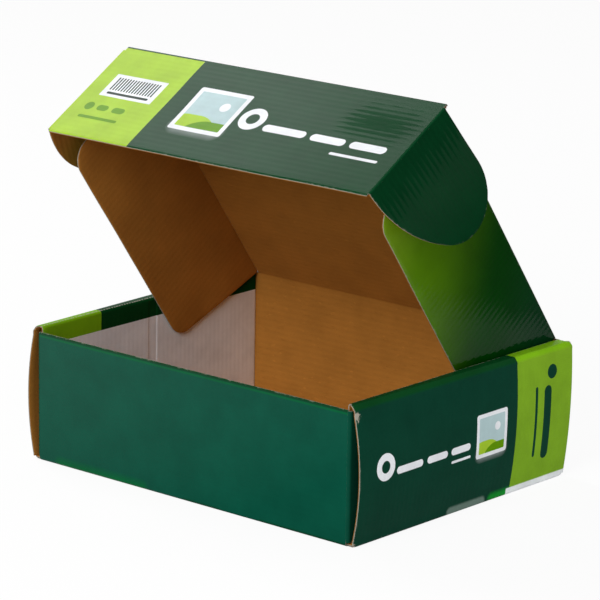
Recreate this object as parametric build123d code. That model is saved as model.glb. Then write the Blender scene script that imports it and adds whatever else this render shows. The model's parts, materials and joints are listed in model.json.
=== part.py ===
from build123d import *
from math import radians, tan
import os

# Mailer box folded from one die-cut sheet of printed E-flute board, with its lid standing open.
# Millimetres and degrees. X runs along the front wall, Y from front to back and Z up.
# The origin lies under the middle of the tray.

# Board
board = 1.6
crease_radius = 0.4        # inside radius of a crease
crease_flat = 0.8          # straight board beside a crease, before a bowed panel starts
layer_gap = 0.2            # air between boards that lie together
fold_gap = 0.3             # air at a fold that moves
cut_clearance = 0.3        # air round a lock tab in its slot
overrun = 1.0              # how far a cutter runs past what it cuts

# Tray
inside_width = 246.0       # between the two inner side panels
tray_depth = 200.0         # over the front and back walls
front_height = 82.2
side_height = 84.0         # of a side wall pressed flat, where the closed lid lies
front_bow = 4.5            # how far an outer side panel bulges at its front edge
back_bow = 2.0             # and at its back edge
back_flare = 4.0           # how far the top of an outer side panel leans out at the back
front_rise = 1.8           # how far a loose top roll stands higher at the front
back_rise = 2.2            # and at the back
front_bevel = 2.8          # width of the slope that leads up to the top roll at the front
back_bevel = 2.2           # and at the back
bevel_slope = 1.25         # rise of that slope for its width
ear_clearance = 0.4        # on each face of an ear in its slot at the front corner

# Corner tabs, which run from the front and back walls into the hollow side walls
tab_meeting_gap = 8.0
tab_top_drop = 0.6         # below the top of the front wall
tab_floor_gap = 0.6
tab_corner = 10.0

# Lock tabs, which hold the inner side panels down in slots of the floor
lock_width = 28.0
lock_spacing = 110.0

# Lid and its flaps
lid_open = 54.1            # angle of the lid above closed
lid_rest_gap = 0.3         # from the closed lid to the top of the side walls
tuck_clearance = 1.8       # from the closed front flap to the front wall
tuck_angle = 94.8          # between the inner faces of the lid and the front flap
tuck_length = 82.0
dust_clearance = 0.5       # from a dust flap to the inner side panel
dust_width = 79.0
dust_start = 1.5           # from the lid hinge to the root of a dust flap
dust_front_margin = 16.6   # from the front fold to a dust flap
dust_taper = 14.0          # slope of the edge beside the hinge
dust_corner = 13.0
ear_fold = 75.0            # angle that an ear is folded back from the front flap
ear_reach = 80.5           # radius of the round edge, about the corner of the front fold
ear_corner = 30.0

# Places that follow from the sizes
bend = board + crease_radius
half_depth = tray_depth / 2
half_inside = inside_width / 2
tab_face = half_inside + board + layer_gap + board
ear_slot = board + 2 * ear_clearance
side_face = tab_face + ear_slot + board
hinge_y = half_depth - board / 2
hinge_z = side_height + lid_rest_gap + board / 2
back_height = hinge_z - board / 2 - fold_gap
lid_length = tray_depth + tuck_clearance
dust_axis = half_inside - dust_clearance - board
dust_end = lid_length - dust_front_margin
ear_axis = tab_face + ear_slot / 2
ear_start = board / 2 + lid_rest_gap + board + ear_clearance  # clears the top roll when closed
fold_setback = board / 2 + fold_gap

# Frames of the lid and the front flap: X along the fold, -Y away from it, Z out of the printed face
lid_frame = Pos(0, hinge_y, hinge_z) * Rot(X=-lid_open)
tuck_frame = lid_frame * Pos(0, -lid_length, 0) * Rot(X=180 - tuck_angle)


def folded_section(*points):
    """Section of a board folded along points of its printed face, which lies on the right of the path."""
    printed_face = FilletPolyline(*points, radius=bend)
    return make_face(offset(printed_face, board, side=Side.LEFT))


def flat_board(outline):
    """Board of one thickness about the plane of its outline."""
    return extrude(outline, board / 2, both=True)


def block(x_range, y_range, z_range):
    """Box between two values along each axis."""
    ranges = (x_range, y_range, z_range)
    middle = [(low + high) / 2 for low, high in ranges]
    return Pos(*middle) * Box(*[high - low for low, high in ranges])


def both_sides(right):
    """A piece at the right and its mirror image at the left."""
    return right + mirror(right, about=Plane.YZ)


# Tray


def front_floor_back():
    """Front wall, floor and back wall, bent up along the front and back creases."""
    section = folded_section(
        (-half_depth, front_height), (-half_depth, 0), (half_depth, 0), (half_depth, back_height)
    )
    return extrude(Plane.YZ * section, tab_face - bend, both=True)


def floor_sides():
    """Floor with the creases that turn up into the outer side panels."""
    rise = bend + crease_flat
    section = folded_section((-side_face, rise), (-side_face, 0), (side_face, 0), (side_face, rise))
    return extrude(Plane.XZ * section, half_depth - bend, both=True)


def bevel_foot(rise, bevel):
    """Height at which the slope that leads up to the top roll starts."""
    return side_height + rise - bevel_slope * bevel


def bowed_section(bow, flare, rise, bevel, y):
    """Section of the right outer side panel where it bulges and leans out by the given amounts."""
    low = bend + crease_flat
    high = bevel_foot(rise, bevel) - bend - crease_flat
    middle = (low + high) / 2
    belly = side_face + flare / 2 + bow
    outer_arc = ThreePointArc((side_face, low), (belly, middle), (side_face + flare, high))
    inner_arc = ThreePointArc(
        (side_face + flare - board, high), (belly - board, middle), (side_face - board, low)
    )
    ends = Line(outer_arc @ 1, inner_arc @ 0) + Line(inner_arc @ 1, outer_arc @ 0)
    section = Plane.XZ * make_face(outer_arc + inner_arc + ends)
    return Pos(0, y, 0) * section


def outer_panel():
    """Right outer side panel, which bulges more at the front and leans out at the back."""
    front = bowed_section(front_bow, 0, front_rise, front_bevel, -half_depth)
    back = bowed_section(back_bow, back_flare, back_rise, back_bevel, half_depth)
    return loft([front, back], ruled=True)


def rolled_section(flare, rise, bevel, y):
    """Section of the right slope, top roll and inner side panel."""
    foot = bevel_foot(rise, bevel)
    top = side_height + rise
    outer = side_face + flare
    section = folded_section(
        (outer, foot - bend - crease_flat),
        (outer, foot),
        (outer - bevel, top),
        (half_inside, top),
        (half_inside, board + cut_clearance),
    )
    return Pos(0, y, 0) * (Plane.XZ * section)


def rolled_panel():
    """Right top roll and inner side panel, cut back where the front and back walls stand."""
    front = rolled_section(0, front_rise, front_bevel, -half_depth)
    back = rolled_section(back_flare, back_rise, back_bevel, half_depth)
    panel = loft([front, back], ruled=True)
    end = half_depth - board - layer_gap
    notch = block(
        (half_inside - overrun, tab_face + layer_gap),
        (end, half_depth + overrun),
        (0, side_height + back_rise + overrun),
    )
    return panel - notch - mirror(notch, about=Plane.XZ)


def corner_tabs():
    """Pair of tabs folded back from the ends of the front wall, with the wall's own band between them."""
    tab_end = -tab_meeting_gap / 2
    section = folded_section(
        (-tab_face, tab_end), (-tab_face, -half_depth), (tab_face, -half_depth), (tab_face, tab_end)
    )
    low = board + tab_floor_gap
    tabs = Pos(0, 0, low) * extrude(section, front_height - tab_top_drop - low)
    ends = tabs.edges().filter_by(Axis.X).group_by(Axis.Y)[-1]
    return fillet(ends, tab_corner)


def lock_tabs(clearance, bottom):
    """Two tabs under the right inner side panel, grown by a clearance all round."""
    x_range = (half_inside - clearance, half_inside + board + clearance)
    top = board + cut_clearance + overrun
    half_width = lock_width / 2 + clearance
    return [
        block(x_range, (y - half_width, y + half_width), (bottom, top))
        for y in (-lock_spacing / 2, lock_spacing / 2)
    ]


def make_tray():
    """Floor, four walls and their inner layers, one folded sheet."""
    tabs = corner_tabs()
    sheet = front_floor_back() + floor_sides() + tabs + mirror(tabs, about=Plane.XZ)
    for slot in lock_tabs(cut_clearance, -overrun):
        sheet -= both_sides(slot)
    right_wall = outer_panel() + rolled_panel()
    for tab in lock_tabs(0, layer_gap):
        right_wall += tab
    return sheet + both_sides(right_wall)


# Lid and its flaps, each modelled flat in its own frame


def hinge_bead(length):
    """Round root of a flap along X, which turns in the crease of the board that carries it."""
    return Rot(Y=90) * Cylinder(board / 2, length)


def make_lid():
    """Lid panel with a round root at the back and round noses over which the dust flaps fold."""
    length = lid_length - fold_setback
    panel = flat_board(Pos(0, -length / 2) * Rectangle(2 * dust_axis, length))
    nose_end = Pos(dust_axis, -board / 2) * (Circle(board) & Rectangle(board, board, align=Align.MIN))
    nose_length = dust_end - dust_start
    nose = Pos(0, -dust_start, 0) * extrude(Plane.XZ * nose_end, nose_length)
    return lid_frame * (panel + hinge_bead(2 * dust_axis) + both_sides(nose))


def make_tuck_flap():
    """Front flap with a round root along the front fold."""
    width = 2 * (ear_axis - fold_setback)
    panel = flat_board(Pos(0, -tuck_length / 2) * Rectangle(width, tuck_length))
    return tuck_frame * (panel + hinge_bead(width))


def right_ear():
    """Ear with one straight edge and a round edge that swings about the corner of the front fold."""
    straight_edge = Rectangle(ear_reach, ear_reach - ear_start, align=(Align.MIN, Align.MAX))
    outline = Circle(ear_reach) & Pos(0, -ear_start) * straight_edge
    outline = fillet(outline.vertices().sort_by(Axis.X)[-1], ear_corner)
    root = Pos(0, -(ear_start + ear_reach) / 2) * Rot(Z=90) * hinge_bead(ear_reach - ear_start)
    return Pos(ear_axis, 0, 0) * Rot(Y=ear_fold) * (flat_board(outline) + root)


def right_dust_flap():
    """Dust flap that hangs square from the side edge of the lid, sloped beside the hinge."""
    slope = dust_width * tan(radians(dust_taper))
    outline = Polygon(
        (fold_gap, -dust_start),
        (dust_width, -dust_start - slope),
        (dust_width, -dust_end),
        (fold_gap, -dust_end),
        align=None,
    )
    outline = fillet(outline.vertices().group_by(Axis.X)[-1], dust_corner)
    flat_flap = Pos(0, 0, board / 2) * flat_board(outline)
    return Pos(dust_axis, 0, -board / 2) * Rot(Y=90) * flat_flap


def in_frame(frame, right):
    """A flap and its mirror image, placed by the frame of the panel that carries them."""
    return frame * right, frame * mirror(right, about=Plane.YZ)


right_ear_solid, left_ear_solid = in_frame(tuck_frame, right_ear())
right_dust_solid, left_dust_solid = in_frame(lid_frame, right_dust_flap())
nodes = {
    "tray": make_tray(),
    "lid": make_lid(),
    "tuck_flap": make_tuck_flap(),
    "right_ear": right_ear_solid,
    "left_ear": left_ear_solid,
    "right_dust_flap": right_dust_solid,
    "left_dust_flap": left_dust_solid,
}

os.makedirs("parts", exist_ok=True)
for name, solid in nodes.items():
    export_step(solid, f"parts/{name}.step")
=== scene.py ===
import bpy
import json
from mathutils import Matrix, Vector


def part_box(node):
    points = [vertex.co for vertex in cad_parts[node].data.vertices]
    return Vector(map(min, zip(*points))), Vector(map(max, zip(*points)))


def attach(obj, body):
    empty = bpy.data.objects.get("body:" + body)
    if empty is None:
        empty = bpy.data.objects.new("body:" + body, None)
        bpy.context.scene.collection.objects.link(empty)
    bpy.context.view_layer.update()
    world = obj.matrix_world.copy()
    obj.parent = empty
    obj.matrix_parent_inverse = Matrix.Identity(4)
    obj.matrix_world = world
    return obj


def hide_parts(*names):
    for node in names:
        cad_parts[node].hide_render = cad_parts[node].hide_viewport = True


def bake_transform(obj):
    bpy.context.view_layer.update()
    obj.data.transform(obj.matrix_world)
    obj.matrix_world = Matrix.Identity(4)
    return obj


bl_info = {
    "name": "Mailer Box",
    "version": (1, 0, 0),
    "blender": (4, 5, 0),
    "location": "View3D > Sidebar > Mailer Box",
    "description": "Printed corrugated mailer box with its lid standing open",
    "category": "Object",
}

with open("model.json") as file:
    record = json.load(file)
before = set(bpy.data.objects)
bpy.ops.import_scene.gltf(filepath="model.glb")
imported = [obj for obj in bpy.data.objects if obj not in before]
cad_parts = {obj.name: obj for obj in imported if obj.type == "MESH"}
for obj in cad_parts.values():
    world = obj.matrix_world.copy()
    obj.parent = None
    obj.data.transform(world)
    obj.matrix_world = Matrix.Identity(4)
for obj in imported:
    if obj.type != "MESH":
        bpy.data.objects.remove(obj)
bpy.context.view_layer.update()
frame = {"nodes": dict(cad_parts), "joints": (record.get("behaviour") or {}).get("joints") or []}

import copy
import json
import math
from collections import namedtuple
from functools import cached_property

import bpy
import numpy as np
from bpy.props import FloatProperty, FloatVectorProperty, IntProperty, PointerProperty
from mathutils import Matrix, Quaternion, Vector

# Metres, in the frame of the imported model: X along the front wall, Y from front to back, Z up.
MM = 0.001

X_AXIS, Y_AXIS, Z_AXIS = np.eye(3)
MIRROR = np.array([-1.0, 1.0, 1.0])
JOINTS = {joint["name"]: joint for joint in frame["joints"]}

# Steps of the grids
EDGE_STEPS = np.array([0.0, 0.05, 0.16, 0.36, 0.7, 1.2, 1.8, 2.6]) * MM
WALL_COLUMNS = 16
FLOOR_COLUMNS = 20
LID_COLUMNS = 18
FLAP_COLUMNS = 12
WIDE_STEPS = 40
EAR_STEPS = 16
DUST_STEPS = 30
SHARP_EDGE = math.radians(38)

# Small sizes of the paper and its edges
FAR_FROM_CUT = 50 * MM
WARP_WAVES = (95 * MM, 60 * MM, 38 * MM)
WARP_CALM = 25 * MM
WELD = 0.002 * MM
MOST_SQUASH = 0.8
FOLD_LAP = 1.2 * MM
PRINT_LIP = 0.5 * MM
PANEL_FOOT = 2.4 * MM
EAR_TRIM = 0.02 * MM
DUST_TRIM = 0.5 * MM
DUST_ROOT = 0.06 * MM
GROOVE_DEPTH = 0.22 * MM
GROOVE_HALF = 3.2 * MM
GROOVE_SLOPE = 1.0 * MM
GROOVE_ROWS = (-4 * MM, -3.4 * MM, 3.4 * MM, 4 * MM)

# Brown strip in the corner of a fold
KRAFT_STRIP = 0.12 * MM
KRAFT_LIFT = 0.02 * MM
KRAFT_STEP = 0.1 * MM
KRAFT_BACK = 0.5 * MM
KRAFT_AHEAD = 0.4 * MM
LEAST_AHEAD = 0.6 * MM

# How strongly the flutes show through the liners of a panel, where not fully
WALL_RIPPLE = 0.45
TUCK_RIPPLE = 0.5
EAR_RIPPLE = 1.4
DUST_RIPPLE = 0.55


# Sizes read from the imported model


def fold_point(name):
    """A point on a fold's axis."""
    return np.array(JOINTS[name]["pos_m"])


def unit(vector):
    """A vector of length one."""
    return vector / np.linalg.norm(vector)


def reach(node, direction, origin):
    """How far a node's solid reaches along a direction, from a point."""
    points = np.array([vertex.co for vertex in frame["nodes"][node].data.vertices])
    return float(((points - origin) @ direction).max())


DUST_LOW, DUST_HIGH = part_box("right_dust_flap")
BOARD = DUST_HIGH.x - DUST_LOW.x
HALF_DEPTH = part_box("tray")[1].y

HINGE = fold_point("lid_hinge")
FRONT_FOLD = fold_point("tuck_fold")
LID_ALONG = unit(FRONT_FOLD - HINGE)
LID_OUT = np.cross(LID_ALONG, X_AXIS)
LID_LENGTH = float(np.linalg.norm(FRONT_FOLD - HINGE))
TUCK_ALONG = unit(np.array(JOINTS["right_ear_fold"]["axis"]))
TUCK_OUT = np.cross(TUCK_ALONG, X_AXIS)
TUCK_LENGTH = reach("tuck_flap", TUCK_ALONG, FRONT_FOLD)
EAR_AXIS = fold_point("right_ear_fold")
EAR_START = -reach("right_ear", -TUCK_ALONG, EAR_AXIS)
EAR_REACH = reach("right_ear", TUCK_ALONG, EAR_AXIS)
DUST_AXIS = fold_point("right_dust_fold")
DUST_START = -reach("right_dust_flap", -LID_ALONG, HINGE)
DUST_END = reach("right_dust_flap", LID_ALONG, HINGE)
DUST_REACH = reach("right_dust_flap", -LID_OUT, DUST_AXIS)


# Sizes and colours that a user may change


def length(name, default, description):
    """A length property, with its default in millimetres."""
    return FloatProperty(name=name, description=description, default=default * MM, unit="LENGTH", precision=5)


def angle(name, default, description):
    """An angle property, with its default in degrees."""
    return FloatProperty(name=name, description=description, default=math.radians(default), unit="ROTATION")


def colour(name, default, description):
    """A colour property, in linear light."""
    return FloatVectorProperty(
        name=name, description=description, default=default, size=3, subtype="COLOR", min=0, max=1
    )


def power(name, default, description):
    """A lamp's power, in watts."""
    return FloatProperty(name=name, description=description, default=default, min=0, unit="POWER")


class BoardSizes(bpy.types.PropertyGroup):
    """Layers of the corrugated board."""

    pitch: length("Flute pitch", 4.0, "From one flute tip to the next")
    liner: length("Liner", 0.28, "Thickness of a paper liner")
    paper: length("Fluting paper", 0.18, "Thickness of the wavy paper")
    washboard: length("Washboard", 0.07, "How far the liner sinks between the flute tips")
    crush: length("Edge crush", 0.28, "How far each liner is pressed in at a cut edge")
    crush_width: length("Edge crush width", 0.9, "How far the crush runs in from a cut edge")
    warp: length("Warp", 0.3, "How far a free panel waves out of its plane")
    rows: IntProperty(name="Rows", description="Rows of points on one flute", default=6, min=4, max=12)


class FoldSizes(bpy.types.PropertyGroup):
    """Sizes of the folded sheet, as in the solids."""

    inside_width: length("Inside width", 246, "Between the two inner side panels")
    front_height: length("Front height", 82.2, "Height of the front wall")
    crease: length("Crease radius", 0.4, "Inside radius of a crease")
    crease_flat: length("Crease flat", 0.8, "Straight board beside a crease")
    layer_gap: length("Layer gap", 0.2, "Air between boards that lie together")
    fold_gap: length("Fold gap", 0.3, "Air at a fold that moves")
    cut_clearance: length("Cut clearance", 0.3, "Air round a lock tab")
    ear_clearance: length("Ear clearance", 0.4, "Air on each face of an ear in its slot")
    front_bow: length("Front bow", 4.5, "Bulge of a side panel at its front edge")
    back_bow: length("Back bow", 2.0, "Bulge of a side panel at its back edge")
    side_height: length("Side height", 84, "Height of a side wall pressed flat")
    front_rise: length("Front rise", 1.8, "How far a loose top roll stands higher at the front")
    back_rise: length("Back rise", 2.2, "How far a loose top roll stands higher at the back")
    back_flare: length("Back flare", 4.0, "How far the top of a side panel leans out at its back edge")
    front_bevel: length("Front bevel", 2.8, "Width of the slope up to the top roll at the front")
    back_bevel: length("Back bevel", 2.2, "Width of the slope up to the top roll at the back")
    bevel_slope: FloatProperty(name="Bevel slope", description="Rise of a slope over its width", default=1.25)
    tab_meeting_gap: length("Tab gap", 8, "Between two corner tabs that meet")
    tab_top_drop: length("Tab drop", 0.6, "From the top of the front wall to a corner tab")
    tab_floor_gap: length("Tab floor gap", 0.6, "From the floor to a corner tab")
    tab_corner: length("Tab corner", 10, "Radius of a corner tab's end")
    lock_width: length("Lock tab", 28, "Width of a lock tab")
    lock_spacing: length("Lock spacing", 110, "Between the middles of two lock tabs")
    dust_corner: length("Dust flap corner", 13, "Radius of a dust flap's corners")
    ear_corner: length("Ear corner", 30, "Radius of an ear's corner")
    dust_taper: angle("Dust flap slope", 14, "Slope beside the hinge")
    ear_fold: angle("Ear fold", 75, "Angle that an ear is folded back")


class PrintColours(bpy.types.PropertyGroup):
    """Inks and papers."""

    green: colour("Dark green", (0.0035, 0.072, 0.042), "Ink of the lid's top, the back wall and the floor")
    # Side green and the side walls' lime are the dark green and the lime made darker as painted shade on the
    # side walls.
    side: colour("Side green", (0.0030, 0.045, 0.025), "Ink of most of the side walls")
    band_in_painted_shade: colour("Side lime", (0.215, 0.41, 0.0205), "Ink of the side walls' end bands")
    spring: colour("Spring green", (0.008, 0.28, 0.028), "Ink of a small patch at the foot of the side")
    # Front green is the dark green made lighter as painted light on the front wall.
    front: colour("Front green", (0.0033, 0.084, 0.050), "Ink of the front wall")
    # Deep green is also painted as shade along the front wall's top edge and under its bottom fold.
    deep: colour("Deep green", (0.003, 0.052, 0.016), "Ink of the front flap and the right ear")
    forest: colour("Forest green", (0.0008, 0.070, 0.0015), "Ink of the dust flaps beside the lid")
    bright: colour("Bright green", (0.001, 0.125, 0.036), "Ink of strips along the front wall's edges")
    lime: colour("Lime", (0.40, 0.62, 0.035), "Ink of the front flap's end and the left ear")
    leaf: colour("Leaf green", (0.13, 0.32, 0.001), "Ink between lime and dark green")
    white: colour("White", (0.90, 0.92, 0.96), "Coated paper without ink")
    grey: colour("Grey", (0.15, 0.22, 0.185), "Ink of another small patch at the foot of the side")
    sky: colour("Sky", (0.50, 0.66, 0.68), "Ink of the card's upper half")
    bars: colour("Bars", (0.02, 0.045, 0.03), "Ink of small bars on a pale ground")
    kraft: colour("Kraft", (0.43, 0.18, 0.032), "Brown liner of the inside")
    raw: colour("Raw paper", (0.42, 0.38, 0.31), "Cut edges and the wavy paper")
    worn: colour("Worn paper", (0.52, 0.48, 0.40), "Paper laid bare where the print is rubbed off")


class StageLook(bpy.types.PropertyGroup):
    """Lamps and the surroundings."""

    surround: FloatProperty(name="Surround", description="Strength of the even light", default=0.25, min=0)
    key: power("Key", 42, "Power of the front lamp")
    top: power("Top", 15, "Power of the lamp above")
    side: power("Side", 14, "Power of the lamp at the right")
    low: power("Low", 1.2, "Power of the sheen on the dust flap")
    lens: FloatProperty(name="Lens", description="Focal length on a 36 mm sensor", default=221.09, min=1)


class MailerBox(bpy.types.PropertyGroup):
    """All sizes and colours of the box."""

    board: PointerProperty(type=BoardSizes)
    fold: PointerProperty(type=FoldSizes)
    ink: PointerProperty(type=PrintColours)
    stage: PointerProperty(type=StageLook)


def box():
    """The scene's sizes and colours."""
    return bpy.context.scene.mailer_box


# Grids on the printed face of the sheet


def stacked(*parts):
    """Coordinates of points, each spread over the others."""
    return np.stack(np.broadcast_arrays(*parts), -1)


def spread(rows, count):
    """Values of the rows on a count of columns."""
    return np.repeat(rows[:, None], count, axis=1)


def even(rows, value):
    """The same value on every row."""
    return np.full(len(rows), value)


class Sheet:
    """Grid of points on the printed face of one stretch of board, with rows across the flutes."""

    def __init__(self, points, out, across, print_map, rim=FAR_FROM_CUT, holes=None):
        self.points = points
        self.out = np.broadcast_to(out, points.shape)
        self.across = across
        self.print_map = stacked(*print_map)
        self.rim = np.minimum(rim, np.full_like(across, FAR_FROM_CUT))
        self.holes = holes

    def mirrored(self):
        """The same stretch on the other side of the box."""
        made = copy.copy(self)
        made.points = self.points * MIRROR
        made.out = self.out * MIRROR
        return made


def row_places(start, end, marks=()):
    """Places across the flutes: even steps, closer together beside the two ends."""
    sizes = box().board
    step = sizes.pitch / sizes.rows
    steady = np.arange(start + EDGE_STEPS[-1], end - EDGE_STEPS[-1], step)
    places = np.concatenate([start + EDGE_STEPS, steady, end - EDGE_STEPS, np.array(marks)])
    return np.unique(np.round(places, 7))


def column_places(low, high, count):
    """Places along the flutes on each row, closer together beside the two ends."""
    low, high = low[:, None], high[:, None]
    fine = EDGE_STEPS * np.minimum(1.0, (high - low) / (4 * EDGE_STEPS[-1]))
    first, last = low + fine[:, -1:], high - fine[:, -1:]
    middle = first + np.linspace(0, 1, count + 2)[1:-1] * (last - first)
    return np.hstack([low + fine, middle, high - fine[:, ::-1]])


def smooth(value):
    """Smooth step from 0 to 1."""
    value = np.clip(value, 0, 1)
    return value * value * (3 - 2 * value)


def warped(along, across, calm, seed):
    """How far a slightly warped panel waves out of its plane, less where calm is short."""
    random = np.random.default_rng(seed)
    total = np.zeros_like(along)
    for size in WARP_WAVES:
        turn, shift = random.uniform(0, 2 * math.pi, 2)
        path = along * math.cos(turn) + across * math.sin(turn)
        total += np.sin(2 * math.pi * path / size + shift) * size / (2 * WARP_WAVES[0])
    return box().board.warp * total * smooth(calm / WARP_CALM)


def flat_sheet(origin, axes, rows, low, high, cuts, folds, seed, count):
    """Flat panel. axes are the directions along the flutes, across them and out of the printed face."""
    along = column_places(low, high, count)
    across = spread(rows, along.shape[1])
    inside = {
        "low": along - low[:, None], "high": high[:, None] - along,
        "start": across - rows[0], "end": rows[-1] - across,
    }
    calm = np.min([np.full_like(along, FAR_FROM_CUT), *(inside[name] for name in folds)], axis=0)
    rim = np.full_like(along, FAR_FROM_CUT)
    for name in cuts:
        edge = {"low": low, "high": high}.get(name, even(rows, 0.0))
        lean = 1 / np.sqrt(1 + np.gradient(edge, rows) ** 2)
        rim = np.minimum(rim, inside[name] * lean[:, None])
    lift = BOARD / 2 + warped(along, across, calm, seed)
    points = origin + sum(part[..., None] * axis for part, axis in zip((along, across, lift), axes))
    return Sheet(points, axes[2], across, (along, across), rim)


# Node trees


class Nodes:
    """Adds nodes to one tree."""

    def __init__(self, tree):
        self.tree = tree
        tree.nodes.clear()

    def add(self, kind, inputs=(), **settings):
        """A node with its settings and inputs, given as pairs of socket and value."""
        node = self.tree.nodes.new(kind)
        for key, value in settings.items():
            setattr(node, key, value)
        for key, value in inputs:
            if isinstance(value, bpy.types.NodeSocket):
                self.tree.links.new(value, node.inputs[key])
            else:
                node.inputs[key].default_value = value
        return node

    def maths(self, operation, *values, clamp=False):
        """Math node."""
        node = self.add("ShaderNodeMath", enumerate(values), operation=operation, use_clamp=clamp)
        return node.outputs[0]

    def vector(self, operation, *values):
        """Vector Math node."""
        node = self.add("ShaderNodeVectorMath", enumerate(values), operation=operation)
        return node.outputs["Value" if operation == "LENGTH" else "Vector"]

    def mixed_output(self, kind, *values):
        """Two shaders mixed by a share, as the tree's output."""
        mixed = self.add("ShaderNodeMixShader", enumerate(values)).outputs[0]
        self.add(kind, [("Surface", mixed)])

    def seen(self):
        """1 for what the camera sees, also in a reflection or through a clear piece."""
        path = self.add("ShaderNodeLightPath").outputs
        direct = self.maths("MAXIMUM", path["Is Camera Ray"], path["Is Glossy Ray"])
        return self.maths("MAXIMUM", direct, path["Is Transmission Ray"])


# Paper layers, made from a grid by one Geometry Nodes tree

LAYER_SIZES = ("Depth", "Height", "Pitch", "Shift", "Squash", "Crush Width", "Paper")
LAYER_FINISHES = ("Printed", "Raw")
GRID_VALUES = (("across", "FLOAT"), ("rim", "FLOAT"), ("out", "FLOAT_VECTOR"), ("printed_face", "BOOLEAN"))


def layer_tree():
    """Tree that moves a grid to its depth in the board and makes it a closed, wavy paper layer."""
    found = bpy.data.node_groups.get("board_layer")
    if found:
        return found
    tree = bpy.data.node_groups.new("board_layer", "GeometryNodeTree")
    for names, kind in ((("Geometry",), "Geometry"), (LAYER_SIZES, "Float"), (LAYER_FINISHES, "Material")):
        for name in names:
            tree.interface.new_socket(name, in_out="INPUT", socket_type=f"NodeSocket{kind}")
    tree.interface.new_socket("Geometry", in_out="OUTPUT", socket_type="NodeSocketGeometry")
    nodes = Nodes(tree)
    maths = nodes.maths
    given = nodes.add("NodeGroupInput").outputs
    across, rim, out, printed = [
        nodes.add("GeometryNodeInputNamedAttribute", [("Name", name)], data_type=kind).outputs[0]
        for name, kind in GRID_VALUES
    ]

    def outward(amount):
        return nodes.add("ShaderNodeVectorMath", [(0, out), ("Scale", amount)], operation="SCALE").outputs[0]

    def step(kind, geometry, *inputs, **settings):
        return nodes.add(f"GeometryNode{kind}", [(0, geometry), *inputs], **settings).outputs[0]

    # Depth below the printed face, waves and the crush at cut edges
    falloff = maths("EXPONENT", maths("MULTIPLY", maths("DIVIDE", rim, given["Crush Width"]), -1.0))
    turns = maths("MULTIPLY", maths("DIVIDE", across, given["Pitch"]), 2 * math.pi)
    height = maths("SUBTRACT", given["Height"], maths("MULTIPLY", given["Squash"], falloff))
    wave = maths("MULTIPLY", maths("SINE", turns), height)
    moved = maths("MULTIPLY_ADD", given["Shift"], falloff, wave)
    lift = outward(maths("SUBTRACT", moved, given["Depth"]))
    placed = step("SetPosition", given["Geometry"], ("Offset", lift))

    # Back of the paper and its edges, then the printed face
    thickness = outward(maths("MULTIPLY", given["Paper"], -1.0))
    extent = ("Offset", thickness), ("Offset Scale", 1.0), ("Individual", False)
    back = step("ExtrudeMesh", step("FlipFaces", placed), *extent)
    face = ("Name", "printed_face"), ("Value", True)
    front = step("StoreNamedAttribute", placed, *face, data_type="BOOLEAN", domain="FACE")
    closed = step("MergeByDistance", step("JoinGeometry", back, (0, front)), ("Distance", WELD))
    bare = step("SetMaterial", step("RealizeInstances", closed), ("Material", given["Raw"]))
    inked = step("SetMaterial", bare, ("Selection", printed), ("Material", given["Printed"]))
    nodes.add("NodeGroupOutput", [("Geometry", inked)])
    return tree


def grid_object(name, sheet):
    """Sheet as a mesh of quads with the values that the layers and materials read."""
    rows, columns = sheet.across.shape
    number = np.arange(rows * columns).reshape(rows, columns)
    quads = stacked(number[:-1, :-1], number[:-1, 1:], number[1:, 1:], number[1:, :-1])
    if sheet.holes is not None:
        quads = quads[~sheet.holes]
    quads = quads.reshape(-1, 4)
    points = sheet.points.reshape(-1, 3)
    out = np.ascontiguousarray(sheet.out).reshape(-1, 3)
    first = quads[len(quads) // 2]
    side = np.cross(points[first[1]] - points[first[0]], points[first[3]] - points[first[0]])
    if side @ out[first[0]] < 0:
        quads = quads[:, ::-1]
    mesh = bpy.data.meshes.new(name)
    mesh.from_pydata(points.tolist(), [], quads.tolist())
    grid_values = (sheet.across, "value"), (sheet.rim, "value"), (out, "vector")
    for (key, kind), (values, field) in zip(GRID_VALUES, grid_values):
        layer = mesh.attributes.new(key, kind, "POINT")
        layer.data.foreach_set(field, np.ascontiguousarray(values, dtype=np.float32).ravel())
    chart = mesh.uv_layers.new(name="print")
    flat = sheet.print_map.reshape(-1, 2)[quads.ravel()]
    chart.data.foreach_set("uv", flat.astype(np.float32).ravel())
    return linked(name, mesh)


def linked(name, data):
    """An object with its data, in the scene."""
    made = bpy.data.objects.new(name, data)
    bpy.context.scene.collection.objects.link(made)
    return made


def paper_layer(name, sheet, finishes, paper, depth=0.0, height=0.0, shift=0.0, squash=0.0):
    """One paper layer of a stretch of board, as a plain mesh."""
    sizes = box().board
    values = (depth, height, sizes.pitch, shift, squash, sizes.crush_width, paper, *finishes)
    given = dict(zip((*LAYER_SIZES, *LAYER_FINISHES), values))
    made = grid_object(name, sheet)
    modifier = made.modifiers.new("layer", "NODES")
    modifier.node_group = layer_tree()
    for item in modifier.node_group.interface.items_tree:
        if item.name in given:
            modifier[item.identifier] = given[item.name]
    graph = bpy.context.evaluated_depsgraph_get()
    ready = made.evaluated_get(graph)
    mesh = bpy.data.meshes.new_from_object(ready, preserve_all_data_layers=True, depsgraph=graph)
    flat = made.data
    made.modifiers.clear()
    made.data = mesh
    bpy.data.meshes.remove(flat)
    mesh.name = name
    for key in ("out", "printed_face"):
        if key in mesh.attributes:
            mesh.attributes.remove(mesh.attributes[key])
    mesh.shade_smooth()
    mesh.set_sharp_from_angle(angle=SHARP_EDGE)
    return made


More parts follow.
